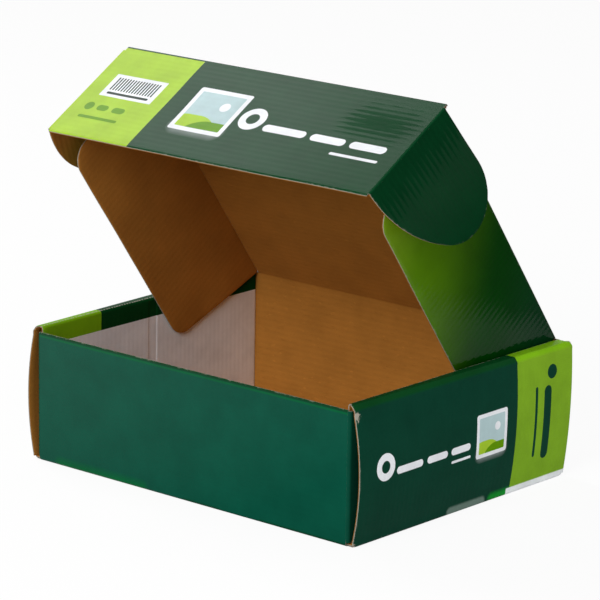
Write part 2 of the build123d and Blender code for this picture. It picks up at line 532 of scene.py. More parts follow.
def board_pieces(name, sheet, paint, node, ripple=1.0, inner=None):
    """Printed liner, brown liner and wavy paper of one stretch of board, which stand for a solid."""
    sizes = box().board
    liner, crush = sizes.liner, sizes.crush
    raw, kraft = finish("raw_paper"), finish("kraft_liner")
    half = ripple * sizes.washboard / 2
    height = BOARD / 2 - liner - sizes.paper / 2 - half
    brown = BOARD - liner - half
    wavy = BOARD / 2 - sizes.paper / 2
    squash = min(crush, MOST_SQUASH * height)
    inner = inner or sheet
    made = [
        paper_layer(f"{name}_printed_liner", sheet, (finish(paint), raw), liner, half, half, -crush),
        paper_layer(f"{name}_kraft_liner", inner, (kraft, kraft), liner, brown, half, crush),
        paper_layer(f"{name}_fluting", inner, (raw, raw), sizes.paper, wavy, height, 0.0, squash),
    ]
    for piece in made:
        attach(piece, node)
        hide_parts(node)


def paired_pieces(name, right, paints, node=None, ripple=1.0):
    """Pieces of a stretch at the right and of its mirror image at the left, each with its own ink."""
    for side, sheet, paint in zip(("right", "left"), (right, right.mirrored()), paints):
        board_pieces(f"{side}_{name}", sheet, paint, node or f"{side}_{name}", ripple)


# Materials

# Noises, as scale in steps per metre, detail, roughness and stretch
STREAKS = (90, 2)
CLOUDS = (55, 4)
GRAIN = (900, 4, 0.65)
RUBS = (260, 5, 0.7)
SCUFFS = (420, 6, 0.75)
DULLNESS = (140, 3)
FLAKES = (480, 3, 0.6)
BROWN_CLOUDS = (40, 4)
FIBRES = (700, 5, 0.7, (0.22, 1.0, 1.0))
PALE_FIBRES = (520, 4, 0.65, (0.35, 1.0, 1.0))
FLECKS = (1500, 2, 0.5)
PULP = (1100, 5, 0.7)
MIDDLE = (0.3, 0.7)

# Wear of the print
CLOUD_SHADES = (0.90, 1.08)
STREAK_DEPTH = (0.1, 0.5)
RUB_WIDTH = (0.8 * MM, 0.1 * MM)
RUB_BREAK = (0.52, 0.62)
RUB_MOST = 0.35
SCUFF_CORE = 0.15
SCUFF_PULL = 0.30
SCUFF_BREAK = (0.62, 0.72)
SCUFF_FADE = (0.0, 0.25, 0.0, 0.7)
WORN_DULL = 0.4

# Cards, in millimetres but for the share of the glow under them
CARD_CORNER = 1.6
PICTURE_CORNER = 0.8
CARD_GLOW = 0.4

# Varnish: soft edge of the print in millimetres, depth of the grain, and the smoother varnish of the flaps
SOFT = 0.12
GRAIN_DEPTH = 0.05 * MM
GLOSS = {"rough": (0.08, 0.11), "grainy": 0.03}
PLAIN_SHEEN = 0.02
SIDE_SHEEN = 0.012
DUST_SHEEN = 0.01
EAR_SHEEN = (0.003, 0.046)
EAR_SHINE = (6 * MM, 30 * MM)
EAR_FADE = (34 * MM, 66 * MM, 1.0, 0.1)
TUCK_SHEEN = (30 * MM, 110 * MM, 0.020, 0.013)
TUCK_DULL = 0.32
FRONT_SHEEN = (0.087, -0.39, -0.8)
LEAST_FRONT_SHEEN = 0.006

# Scuffed corners of the tray: middle and size
CORNER_SCUFFS = (
    ((-130.0 * MM, -100.0 * MM, 83.0 * MM), 5 * MM),
    ((131.0 * MM, -99.5 * MM, 79.0 * MM), 5 * MM),
    ((132.0 * MM, -100.0 * MM, 1.0 * MM), 4 * MM),
    ((131.0 * MM, 100.0 * MM, 85.5 * MM), 4 * MM),
)


def ink(name):
    """A colour of the box as a plain triple."""
    return tuple(getattr(box().ink, name))


def shade(name, amount):
    """A colour of the box, lighter or darker."""
    return tuple(min(1.0, amount * part) for part in ink(name))


class Painter(Nodes):
    """Adds the nodes of one material, with its colour so far. Sizes of the print are in millimetres."""

    def __init__(self, name, ground=None):
        self.material = bpy.data.materials.new(name)
        self.material.use_nodes = True
        super().__init__(self.material.node_tree)
        self.tone = ink(ground) if ground else None

    @cached_property
    def place(self):
        """Object coordinates."""
        return self.add("ShaderNodeTexCoord").outputs["Object"]

    @cached_property
    def chart(self):
        """The piece's own print map, in metres."""
        return self.add("ShaderNodeUVMap", uv_map="print").outputs["UV"]

    def parts(self, place):
        """X, Y and Z of a place."""
        return tuple(self.add("ShaderNodeSeparateXYZ", [(0, place)]).outputs)

    def attribute(self, name):
        """A number that the piece carries."""
        return self.add("ShaderNodeAttribute", attribute_name=name).outputs["Fac"]

    def both(self, first, second):
        """Where two fields overlap."""
        return self.maths("MULTIPLY", first, second)

    def mix(self, share, first, second, blend="MIX"):
        """Colour mix."""
        inputs = [(0, share)]
        for place, value in ((6, first), (7, second)):
            inputs.append((place, value if isinstance(value, bpy.types.NodeSocket) else (*value, 1.0)))
        return self.add("ShaderNodeMix", inputs, data_type="RGBA", blend_type=blend).outputs[2]

    def ramp(self, value, low, high, start=0.0, end=1.0, kind="LINEAR"):
        """Value moved from one range to another, clamped."""
        inputs = [("Value", value), ("From Min", low), ("From Max", high), ("To Min", start), ("To Max", end)]
        return self.add("ShaderNodeMapRange", inputs, interpolation_type=kind).outputs[0]

    def noise(self, scale, detail, rough=0.55, stretch=None):
        """Noise of a scale in steps per metre."""
        place = self.vector("MULTIPLY", self.place, stretch) if stretch else self.place
        inputs = [("Vector", place), ("Scale", scale), ("Detail", detail), ("Roughness", rough)]
        return self.add("ShaderNodeTexNoise", inputs, noise_dimensions="3D").outputs["Fac"]

    def patch(self, middle, size, corner=0.0, soft=SOFT, slant=0.0):
        """Share of a rounded field of print, 1 inside and 0 outside. slant leans its upright edges."""
        place = self.chart
        if slant:
            x, y, _ = self.parts(place)
            moved = self.maths("MULTIPLY_ADD", y, -slant, x)
            place = self.add("ShaderNodeCombineXYZ", [(0, moved), (1, y)]).outputs[0]
        corner = min(corner, size[0] / 2, size[1] / 2)
        half = ((size[0] / 2 - corner) * MM, (size[1] / 2 - corner) * MM, 1.0)
        away = self.vector("SUBTRACT", place, (middle[0] * MM, middle[1] * MM, 0.0))
        beyond = self.vector("SUBTRACT", self.vector("ABSOLUTE", away), half)
        distance = self.vector("LENGTH", self.vector("MAXIMUM", beyond, (0.0, 0.0, 0.0)))
        return self.ramp(distance, (corner + soft) * MM, (corner - soft) * MM if corner > soft else 0.0)

    def over(self, share, colour_name):
        """Prints a colour over a share of the face."""
        self.tone = self.mix(share, self.tone, ink(colour_name))

    def field(self, colour_name, *shape, **more):
        """Prints a rounded field."""
        self.over(self.patch(*shape, **more), colour_name)

    def bars(self, colour_name, *rows, soft=SOFT):
        """Prints bars with round ends, each given as its middle and size."""
        for x, y, wide, high in rows:
            self.field(colour_name, (x, y), (wide, high), min(wide, high) / 2, soft)

    def ring(self, middle, outer, inner):
        """Prints a white ring."""
        disc, hole = [self.patch(middle, (size, size), size) for size in (outer, inner)]
        self.over(self.maths("SUBTRACT", disc, hole, clamp=True), "white")

    def card(self, middle, size, border, up):
        """Prints a pale card with a plain landscape. up is 1 where the print map runs up, or else -1."""
        (x, y), (wide, high) = middle, size
        glow = self.patch((x, y - up * 0.40 * high), (wide * 0.9, high * 0.24), high * 0.12, high * 0.11)
        self.over(self.maths("MULTIPLY", glow, CARD_GLOW), "white")
        self.field("white", middle, size, CARD_CORNER)
        picture = self.patch(middle, (wide - 2 * border, high - 2 * border), PICTURE_CORNER)
        self.over(picture, "sky")
        sun, far, near = (0.18 * wide, 0.18 * wide), (1.1 * wide, high), (1.2 * wide, high)
        for colour_name, right, above, spot in (
            ("white", 0.18, 0.14, sun),
            ("lime", -0.2, -0.62, far),
            ("leaf", 0.28, -0.72, near),
        ):
            centre = (x + right * wide, y + up * above * high)
            self.over(self.both(self.patch(centre, spot, wide), picture), colour_name)

    def beat(self, start, pitch):
        """Distance from the middle of each step along the print, as a share of the step."""
        along = self.maths("SUBTRACT", self.parts(self.chart)[0], start * MM)
        turns = self.maths("FRACT", self.maths("DIVIDE", along, pitch * MM))
        return self.maths("ABSOLUTE", self.maths("SUBTRACT", turns, 0.5))

    def flute_wave(self):
        """Wave over the flutes, 1 on the tips."""
        turns = self.maths("MULTIPLY", self.attribute("across"), 2 * math.pi / box().board.pitch)
        return self.maths("SINE", turns)

    def streaked(self, share):
        """Share of a field, broken into streaks along the flutes where it fades."""
        uneven = self.ramp(self.noise(*STREAKS), *MIDDLE, *STREAK_DEPTH)
        ridges = self.both(self.flute_wave(), uneven)
        return self.ramp(self.maths("ADD", share, ridges), *MIDDLE, kind="SMOOTHSTEP")

    def varnish(self, sheen, scuffs=(), rough=(0.24, 0.32), grainy=0.12):
        """Finishes the print with varnish, rubbed edges and scuffed spots."""
        cloudy = self.ramp(self.noise(*CLOUDS), *MIDDLE, *CLOUD_SHADES)
        clouds = self.add("ShaderNodeCombineXYZ", [(axis, cloudy) for axis in range(3)]).outputs[0]
        self.tone = self.mix(1.0, self.tone, clouds, "MULTIPLY")
        edge = self.ramp(self.attribute("rim"), *RUB_WIDTH)
        rubbed = self.both(edge, self.ramp(self.noise(*RUBS), *RUB_BREAK))
        worn = self.maths("MULTIPLY", rubbed, RUB_MOST)
        for middle, size in scuffs:
            away = self.vector("LENGTH", self.vector("SUBTRACT", self.place, middle))
            near = self.ramp(away, size, SCUFF_CORE * size)
            pulled = self.maths("MULTIPLY_ADD", near, SCUFF_PULL, self.noise(*SCUFFS))
            broken = self.ramp(pulled, *SCUFF_BREAK)
            worn = self.maths("MAXIMUM", worn, self.both(broken, self.ramp(near, *SCUFF_FADE)))
        self.over(worn, "worn")
        dull = self.ramp(self.noise(*DULLNESS), *MIDDLE, *rough)
        dull = self.maths("ADD", dull, self.maths("MULTIPLY", worn, WORN_DULL), clamp=True)
        return self.finish(dull, self.noise(*GRAIN), grainy, GRAIN_DEPTH, sheen)

    def finish(self, rough, bump, strength, distance, sheen):
        """Principled shader with a bump, as the material's output."""
        height = [("Height", bump), ("Strength", strength), ("Distance", distance)]
        raised = self.add("ShaderNodeBump", height).outputs[0]
        inputs = [("Base Color", self.tone), ("Roughness", rough), ("Normal", raised)]
        shader = self.add("ShaderNodeBsdfPrincipled", [*inputs, ("Specular IOR Level", sheen)]).outputs[0]
        self.add("ShaderNodeOutputMaterial", [("Surface", shader)])
        return self.material


def plain_ink(name):
    """Dark green all over."""
    return Painter(name, "green").varnish(PLAIN_SHEEN)


def lime_ink(name):
    """Lime all over."""
    return Painter(name, "lime").varnish(PLAIN_SHEEN)


def ear_ink(name):
    """Deep green all over, dull beside the fold and at the free end."""
    paint = Painter(name, "deep")
    out = paint.parts(paint.chart)[0]
    shine = paint.streaked(paint.ramp(out, *EAR_SHINE))
    shine = paint.both(shine, paint.ramp(out, *EAR_FADE))
    return paint.varnish(paint.ramp(shine, 0.0, 1.0, *EAR_SHEEN))


def front_ink(name):
    """Front green, lightened as painted light, with brighter strips along the top edge and the bottom fold,
    and deep green painted shade along the curled top edge and under the rounded bottom fold.
    """
    paint = Painter(name, "front")
    paint.bars("bright", (-72, 81, 76, 6), soft=2.5)
    paint.bars("bright", (0, 2.3, 252, 1.0), soft=0.5)
    # Painted shade: a deep green line along the curled top edge
    paint.bars("deep", (0, 0.4, 252, 2.2), soft=0.5)
    # Painted shadow: deep green under the rounded bottom fold
    paint.bars("deep", (11, 82.4, 30, 3.2), (92, 82.4, 70, 3.2), soft=1.3)
    fold = paint.patch((92, 83.0), (60, 0.5), 0.2, 0.2)
    paint.over(paint.both(fold, paint.ramp(paint.noise(*FLAKES), 0.50, 0.60, 0.0, 0.8)), "worn")
    x, y, _ = paint.parts(paint.chart)
    level, by_x, by_y = FRONT_SHEEN
    sheen = paint.maths("MULTIPLY_ADD", x, by_x, paint.maths("MULTIPLY_ADD", y, by_y, level))
    return paint.varnish(paint.maths("MAXIMUM", sheen, LEAST_FRONT_SHEEN), CORNER_SCUFFS)


# Side wall: bars and blocks of print, the painted shade over the top roll, and the turns of the roll in
# degrees where its painted shade, its crest and the inner panel start
SIDE_BARS = ((45, 41, 24, 4.4), (70.5, 41, 19, 4.4), (92.5, 41, 18, 4.4), (93, 34.5, 18, 1.6))
SIDE_BLOCKS = ((176, 40, 7, 46), (165, 42, 2.4, 44), (180, 71, 9, 9))
ROLL_PAINTED_SHADE = (1.02, 1.20, 0.48)
ROLL_TURN = 20
ROLL_START = 1.0
CREST_TURN = 100
PANEL_TURN = 179
WHITE_DROP = 10.5 * MM
CRACK_PITCH = 2.3


def side_ink(name):
    """Side wall: dark green and lime, both darkened as painted shade, with a card, plain bars and a white
    inner panel.
    """
    paint = Painter(name, "side")
    paint.field("band_in_painted_shade", (245.2, 40), (200, 400), slant=0.018)
    paint.card((122, 44.5), (29, 27), 2.4, 1)
    paint.ring((23, 45.5), 16.5, 7.5)
    paint.bars("white", *SIDE_BARS)
    paint.bars("side", *SIDE_BLOCKS)
    paint.bars("grey", (103.5, 2.0, 36, 6), soft=0.8)
    paint.bars("spring", (136, 2.0, 22, 5.6), soft=1.6)
    paint.field("white", (171.5, 0), (58, 8.4), soft=0.7)
    roll, crest = [turned_height(turn) / MM for turn in (ROLL_TURN, CREST_TURN)]
    white = white_line() / MM
    roll += ROLL_START
    # Painted shade over the top roll, multiplied into its print from where the roll turns up to the white
    # inner panel
    turned = paint.patch((100, (roll + white) / 2), (400, white - roll), soft=2.0)
    paint.tone = paint.mix(turned, paint.tone, ROLL_PAINTED_SHADE, "MULTIPLY")
    paint.field("white", (100, white + 150), (400, 300), soft=0.25)
    # Print flaked off along the crest of the roll, in cracks on the left wall
    left = paint.ramp(paint.parts(paint.place)[0], 0.0, -10 * MM)
    cracks = paint.both(left, paint.ramp(paint.beat(0.0, CRACK_PITCH), 0.22, 0.32, 0.0, 0.85))
    flaked = paint.maths("MAXIMUM", paint.ramp(paint.noise(*FLAKES), 0.47, 0.58, 0.0, 0.7), cracks)
    paint.over(paint.both(paint.patch((100, crest), (400, 0.5), soft=0.25), flaked), "worn")
    return paint.varnish(SIDE_SHEEN, CORNER_SCUFFS)


# Front flap: bars, marks under the striped card, and the card's stripes as middle, size and count
TUCK_BARS = ((37, 45.5, 33, 6), (70.5, 45.5, 26, 6), (101, 45.5, 27, 6), (97, 55.5, 36, 2.2))
TUCK_MARKS = ((-114, 55, 7, 7), (-103, 55, 9, 5), (-90, 55, 10, 5), (-100, 64.5, 32, 2.4))
TUCK_STRIPES = ((-93.8, 32.6), (36, 11.5), 16)


def tuck_ink(name):
    """Front flap: lime end with a striped card, then dark green with a card, a ring and plain bars."""
    paint = Painter(name, "deep")
    paint.field("lime", (-261.3, 100.9), (400, 200))
    paint.field("white", (-93.8, 34.3), (42.5, 20.5), 0.6)
    middle, size, count = TUCK_STRIPES
    lines = paint.ramp(paint.beat(middle[0] - size[0] / 2, size[0] / count), 0.30, 0.22)
    paint.over(paint.both(lines, paint.patch(middle, size)), "bars")
    paint.bars("bars", (-93.8, 41.2, 34, 2.0))
    paint.bars("leaf", *TUCK_MARKS)
    paint.card((-25, 41), (42, 38), 3.4, -1)
    paint.ring((8.5, 40.5), 19, 9)
    paint.bars("white", *TUCK_BARS)
    dull = paint.streaked(paint.patch((95, 25), (36, 10), 5, 15))
    sheen = paint.ramp(paint.parts(paint.chart)[0], *TUCK_SHEEN)
    return paint.varnish(paint.both(sheen, paint.ramp(dull, 0.0, 1.0, 1.0, TUCK_DULL)), **GLOSS)


# Dust flap: how much a way down and ahead counts, and where each ink sets in
DUST_DOWN = 0.35
DUST_AHEAD = 0.95
DUST_FOREST = (0.05, 0.50)
DUST_LEAF = (0.47, 1.05)
DUST_LIME = (1.0, 1.35, 0.0, 0.6)


def dust_ink(name):
    """Dust flap: lime at the front and free corner, then leaf green, then dark green at the hinge and lid."""
    paint = Painter(name, "deep")
    x, y, _ = paint.parts(paint.chart)
    ahead = paint.ramp(y, DUST_START, DUST_END)
    down = paint.ramp(x, 0.0, DUST_REACH)
    share = paint.maths("MULTIPLY_ADD", down, DUST_DOWN, paint.maths("MULTIPLY", ahead, DUST_AHEAD))
    paint.over(paint.ramp(share, *DUST_FOREST, kind="SMOOTHSTEP"), "forest")
    paint.over(paint.ramp(share, *DUST_LEAF, kind="SMOOTHSTEP"), "leaf")
    paint.over(paint.ramp(share, *DUST_LIME), "lime")
    return paint.varnish(DUST_SHEEN, **GLOSS)


def kraft_liner(name):
    """Brown paper with fibres, flecks and faint lines over the flutes."""
    paint = Painter(name)
    fibres = paint.noise(*FIBRES)
    cloudy = paint.ramp(paint.noise(*BROWN_CLOUDS), *MIDDLE)
    paint.tone = paint.mix(cloudy, shade("kraft", 0.90), shade("kraft", 1.10))
    for value, low, high, most, amount in (
        (paint.flute_wave(), -1.0, 1.0, 0.11, 0.6),
        (fibres, 0.56, 0.72, 0.5, 0.62),
        (paint.noise(*PALE_FIBRES), 0.60, 0.74, 0.45, 1.45),
        (paint.noise(*FLECKS), 0.70, 0.76, 0.6, 0.35),
    ):
        paint.tone = paint.mix(paint.ramp(value, low, high, 0.0, most), paint.tone, shade("kraft", amount))
    rough = paint.ramp(fibres, *MIDDLE, 0.72, 0.88)
    return paint.finish(rough, fibres, strength=0.25, distance=0.06 * MM, sheen=0.04)


def raw_paper(name):
    """Cut edges and the wavy paper."""
    paint = Painter(name)
    pulp = paint.noise(*PULP)
    paint.tone = paint.mix(paint.ramp(pulp, 0.35, 0.65), shade("raw", 0.75), shade("raw", 1.2))
    rough = paint.ramp(pulp, *MIDDLE, 0.8, 0.95)
    return paint.finish(rough, pulp, strength=0.3, distance=0.08 * MM, sheen=0.2)


INKS = (plain_ink, lime_ink, ear_ink, front_ink, side_ink, tuck_ink, dust_ink)
FINISHES = {maker.__name__: maker for maker in (*INKS, kraft_liner, raw_paper)}


def finish(name):
    """A material by name, made when first asked for."""
    return bpy.data.materials.get(name) or FINISHES[name](name)


# Places of the folded sheet


def bend():
    """Outside radius of a crease."""
    return BOARD + box().fold.crease


def half_inside():
    """From the middle to the inner side panel."""
    return box().fold.inside_width / 2


def tab_face():
    """Outer face of the corner tabs."""
    return half_inside() + 2 * BOARD + box().fold.layer_gap


def side_face():
    """Outer face of the side walls at their creases."""
    return tab_face() + 2 * BOARD + 2 * box().fold.ear_clearance


def back_height():
    """Top of the back wall."""
    return HINGE[2] - BOARD / 2 - box().fold.fold_gap


def setback():
    """How far a board ends before a fold that moves."""
    return BOARD / 2 + box().fold.fold_gap


def arc(centre, radius, start, end, count):
    """Points and outward directions on an arc, angles in degrees."""
    angles = np.radians(np.linspace(start, end, count))
    out = stacked(np.cos(angles), np.sin(angles))
    return np.array(centre) + radius * out, out


def straight(points, out):
    """Points and outward directions on a straight run."""
    points = np.array(points, dtype=float)
    return points, np.broadcast_to(np.array(out, dtype=float), points.shape)


def path_length(points):
    """Length along a path at each of its points."""
    return np.concatenate([[0], np.cumsum(np.linalg.norm(np.diff(points, axis=0), axis=1))])


def joined_path(first, *others):
    """Points, outward directions and lengths of a path, from its parts end to end without doubled points."""
    points, out = [np.concatenate([first[item], *(part[item][1:] for part in others)]) for item in (0, 1)]
    return points, out, path_length(points)


# Tray


def wall_sheet(height, side, seed):
    """Front or back wall with the crease at its foot."""
    y, turn = side * HALF_DEPTH, bend()
    upright = stacked(y, height - row_places(0, height - turn))
    angles = (0, -90) if side > 0 else (180, 270)
    crease = arc((y - side * turn, turn), turn, *angles, 9)
    path, path_out, down = joined_path(straight(upright, (side, 0)), crease)
    half = tab_face() - turn
    along = column_places(even(path, -half), even(path, half), WALL_COLUMNS)
    across = spread(down, along.shape[1])
    calm = np.minimum(half - np.abs(along), height - across)
    if side > 0:
        calm = np.minimum(calm, across)
    out = stacked(np.zeros_like(along), path_out[:, :1], path_out[:, 1:])
    points = stacked(along, path[:, :1], path[:, 1:]) + warped(along, across, calm, seed)[..., None] * out
    return Sheet(points, out, across, (along, across), across if side < 0 else FAR_FROM_CUT)


def floor_sheet():
    """Floor with the slots for the lock tabs."""
    fold = box().fold
    half, end = side_face() - bend(), HALF_DEPTH - bend()
    slot_low = half_inside() - fold.cut_clearance
    slot_high = half_inside() + BOARD + fold.cut_clearance
    slot_half = fold.lock_width / 2 + fold.cut_clearance
    lock = fold.lock_spacing / 2
    rows = row_places(-end, end, [side * lock + edge for side in (-1, 1) for edge in (-slot_half, slot_half)])
    between = np.linspace(-slot_low, slot_low, FLOOR_COLUMNS)
    line = np.concatenate([[-half, -slot_high], between, [slot_high, half]])
    across = spread(rows, len(line))
    along = np.broadcast_to(line, across.shape)
    middle_x = np.abs((along[:-1, :-1] + along[1:, 1:]) / 2)
    middle_y = np.abs(np.abs((across[:-1, :-1] + across[1:, 1:]) / 2) - lock)
    holes = (middle_x > slot_low) & (middle_x < slot_high) & (middle_y < slot_half)
    return Sheet(stacked(along, across, 0.0), -Z_AXIS, across, (along, across), holes=holes)


def tab_sheet(height, side):
    """Corner tab at the right end of the front or back wall."""
    fold = box().fold
    turn, face, y = bend(), tab_face(), side * HALF_DEPTH
    low, high = BOARD + fold.tab_floor_gap, fold.front_height - fold.tab_top_drop
    rows = row_places(low, high)
    near = np.minimum(rows - low, high - rows)
    corner, corner_out = arc((face - turn, y - side * turn), turn, 90 * side, 0, 9)
    full = HALF_DEPTH - turn - fold.tab_meeting_gap / 2
    radius = fold.tab_corner
    end = full - radius + np.sqrt(np.maximum(0, radius**2 - np.maximum(0, radius - near) ** 2))
    share = np.concatenate([np.linspace(0, 0.9, 10)[1:], [0.95, 0.985, 1.0]])
    bent, count = len(corner), len(corner) + len(share)
    points, out = np.zeros((2, len(rows), count, 3))
    points[:, :bent, :2] = corner
    points[:, bent:, 0] = face
    points[:, bent:, 1] = y - side * (turn + end[:, None] * share)
    points[..., 2] = rows[:, None]
    out[:, :bent, :2] = corner_out
    out[:, bent:, 0] = 1.0
    across = spread(height - rows, count)
    rim = spread(near, count)
    rim[:, bent:] = np.minimum(rim[:, bent:], end[:, None] * (1 - share))
    return Sheet(points, out, across, (np.linspace(0, full, count), across), rim)


def side_path(bow, flare, rise, bevel):
    """Section of the right side wall: crease at the floor, bowed panel, slope, top roll and inner panel."""
    fold, turn = box().fold, bend()
    face, inside = side_face(), half_inside()
    outer, top = face + flare, fold.side_height + rise
    foot = top - fold.bevel_slope * bevel
    low, high = turn + fold.crease_flat, foot - turn - fold.crease_flat
    share = np.linspace(0, 1, 18)
    bowed = stacked(face + flare * share + 4 * bow * share * (1 - share), low + (high - low) * share)
    bowed_out = stacked(high - low, -flare - 4 * bow * (1 - 2 * share))
    bowed_out /= np.linalg.norm(bowed_out, axis=1, keepdims=True)
    lean = math.atan(1 / fold.bevel_slope)
    first, second = turn * math.tan(lean / 2), turn * math.tan(math.pi / 4 - lean / 2)
    slope = np.array([-math.sin(lean), math.cos(lean)])
    slope_ends = np.array([outer, foot]) + first * slope, np.array([outer - bevel, top]) - second * slope
    edge = outer - bevel - second
    bottom = BOARD + fold.cut_clearance
    down = np.concatenate([np.linspace(top - turn, bottom + PANEL_FOOT, 12), bottom + EDGE_STEPS[-2::-1]])
    return joined_path(
        arc((face - turn, turn), turn, -90, 0, 8),
        straight(((face, turn), (face, low)), (1, 0)),
        (bowed, bowed_out),
        straight(((outer, high), (outer, foot - first)), (1, 0)),
        arc((outer - turn, foot - first), turn, 0, math.degrees(lean), 5),
        straight(np.linspace(*slope_ends, 3), (math.cos(lean), math.sin(lean))),
        arc((edge, top - turn), turn, math.degrees(lean), 90, 6),
        straight(np.linspace((edge, top), (inside + turn, top), 5), (0, 1)),
        arc((inside + turn, top - turn), turn, 90, 180, 8),
        straight(stacked(inside, down), (-1, 0)),
    )


def front_path():
    """Section of the right side wall at its front edge."""
    fold = box().fold
    return side_path(fold.front_bow, 0.0, fold.front_rise, fold.front_bevel)


def print_height(along):
    """Height of the print along a section of the side wall: 0 at the floor, rising up the outer panel."""
    return along - math.pi / 2 * bend() + bend()


def turned_height(turn):
    """Height of the print where the top roll has turned by an angle in degrees."""
    _, path_out, along = front_path()
    angles = np.degrees(np.arctan2(path_out[:, 1], path_out[:, 0]))
    return float(print_height(along[np.nonzero(angles > turn)[0][0]]))


def white_line():
    """Where the white of the inner side panels starts, in the height of the print."""
    return turned_height(PANEL_TURN) + WHITE_DROP


def side_sheet():
    """Right side wall, which leans out and stands higher towards the back."""
    fold = box().fold
    front, front_out, along_row = front_path()
    back, back_out, _ = side_path(fold.back_bow, fold.back_flare, fold.back_rise, fold.back_bevel)
    notch = front[:, 0] < tab_face() + fold.layer_gap
    crease = (front[:, 1] < bend() - 0.01 * MM) & ~notch
    reach_y = even(front, HALF_DEPTH)
    reach_y[notch] = HALF_DEPTH - BOARD - fold.layer_gap
    reach_y[crease] = HALF_DEPTH - bend()
    share = row_places(-HALF_DEPTH, HALF_DEPTH, GROOVE_ROWS)[:, None] / HALF_DEPTH
    across = share * reach_y
    behind = ((across / HALF_DEPTH + 1) / 2)[..., None]
    section = (1 - behind) * front + behind * back
    section_out = (1 - behind) * front_out + behind * back_out
    section_out /= np.linalg.norm(section_out, axis=-1, keepdims=True)
    # Inner panel, pressed over the two corner tabs behind it
    pressed = front_out[:, 0] < -0.99
    groove = GROOVE_DEPTH * (1 - smooth((np.abs(across) - GROOVE_HALF) / GROOVE_SLOPE))
    section[:, pressed, 0] += groove[:, pressed]
    points = stacked(section[..., 0], across, section[..., 1])
    out = stacked(section_out[..., 0], 0.0, section_out[..., 1])
    rim = np.minimum(HALF_DEPTH * (1 - np.abs(share)), along_row[-1] - along_row)
    return Sheet(points, out, across, (across + HALF_DEPTH, print_height(along_row)), rim)


def lock_sheet(y):
    """Lock tab under the right inner side panel."""
    fold = box().fold
    half = fold.lock_width / 2
    down = np.linspace(BOARD + fold.cut_clearance, fold.layer_gap, 5)
    across = spread(row_places(y - half, y + half), len(down))
    points = stacked(half_inside(), across, down)
    chart = (across + HALF_DEPTH, white_line() + fold.side_height - down)
    return Sheet(points, -X_AXIS, across, chart, half - np.abs(across - y))


def left_print(sheet):
    """Left wall: the same design, read from outside."""
    made = sheet.mirrored()
    made.print_map = np.array([2 * HALF_DEPTH, 0.0]) + made.print_map * np.array([-1.0, 1.0])
    return made


# Lid and flaps


def lid_sheet():
    """Lid panel."""
    rows = row_places(0.0, LID_LENGTH - setback())
    half = DUST_AXIS[0]
    folds = ("low", "high", "start", "end")
    axes = (X_AXIS, LID_ALONG, LID_OUT)
    low, high = even(rows, -half), even(rows, half)
    sheet = flat_sheet(HINGE, axes, rows, low, high, (), folds, seed=3, count=LID_COLUMNS)
    bare = (sheet.across > DUST_END) | (sheet.across < DUST_START)
    sheet.rim = np.where(bare, np.minimum(sheet.rim, half - np.abs(sheet.print_map[..., 0])), sheet.rim)
    return sheet


def tuck_sheet():
    """Front flap."""
    rows = row_places(0.0, TUCK_LENGTH)
    half = EAR_AXIS[0] - setback()
    folds = ("low", "high", "start")
    axes = (X_AXIS, TUCK_ALONG, TUCK_OUT)
    low, high = even(rows, -half), even(rows, half)
    return flat_sheet(FRONT_FOLD, axes, rows, low, high, ("end",), folds, seed=8, count=LID_COLUMNS)


def ear_axes():
    """Directions of the right ear: along its flutes, across them and out."""
    turn = box().fold.ear_fold
    along = math.cos(turn) * X_AXIS - math.sin(turn) * TUCK_OUT
    out = math.sin(turn) * X_AXIS + math.cos(turn) * TUCK_OUT
    return along, TUCK_ALONG, out


def ear_sheet():
    """Right ear, with a straight top edge, a round corner and an edge round the end of the front fold."""
    corner = box().fold.ear_corner
    rows = row_places(EAR_START, EAR_REACH - EAR_TRIM)
    middle_across = EAR_START + corner
    middle_along = math.sqrt((EAR_REACH - corner) ** 2 - middle_across**2)
    meet = middle_across * EAR_REACH / (EAR_REACH - corner)
    round_corner = middle_along + np.sqrt(np.maximum(0, corner**2 - (rows - middle_across) ** 2))
    round_edge = np.sqrt(np.maximum(0, EAR_REACH**2 - rows**2))
    high = np.where(rows < meet, round_corner, round_edge)
    low, cuts = even(rows, 0.0), ("high", "start", "end")
    return flat_sheet(EAR_AXIS, ear_axes(), rows, low, high, cuts, ("low",), seed=5, count=FLAP_COLUMNS)


def dust_sheet():
    """Right dust flap, sloped beside the hinge, with two round corners."""
    corner, slope = box().fold.dust_corner, box().fold.dust_taper
    rows = row_places(DUST_START + DUST_TRIM, DUST_END)
    wide = DUST_REACH - corner
    back = DUST_START + (corner + math.sin(slope) * wide) / math.cos(slope)
    front = DUST_END - corner
    sloped = (rows - DUST_START) / math.tan(slope)
    turned = np.maximum(np.maximum(back - rows, rows - front), 0.0)
    rounded = wide + np.sqrt(np.maximum(0, corner**2 - turned**2))
    high = np.where(rows < back - corner * math.cos(slope), sloped, rounded)
    low = np.minimum(DUST_ROOT, high / 4)
    origin = np.array([DUST_AXIS[0] + BOARD / 2, HINGE[1], HINGE[2]]) - LID_OUT * BOARD / 2
    axes, cuts = (-LID_OUT, LID_ALONG, X_AXIS), ("high", "start", "end")
    return flat_sheet(origin, axes, rows, low, high, cuts, ("low",), seed=11, count=FLAP_COLUMNS)


# Folds that move: a printed strip over the outside and a brown strip in the corner

# outs and alongs are the two panels' directions out and on from the fold.
# line has start, end, direction and steps.
Fold = namedtuple("Fold", "name axis outs alongs line bodies")


def strip_sheet(line, path, out, print_map):
    """Strip swept along a line of places, from a path in space."""
    start, end, direction, count = line
    places = np.linspace(start, end, count)[:, None]
    points = path + places[..., None] * direction
    return Sheet(points, out, np.zeros(points.shape[:2]), print_map(places))


def bind(piece):
    """Bakes a strip's placement into its mesh."""
    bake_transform(piece)


def fold_angle(fold):
    """Angle between the two panels of a fold."""
    return math.acos(float(np.clip(fold.outs[0] @ fold.outs[1], -1, 1)))


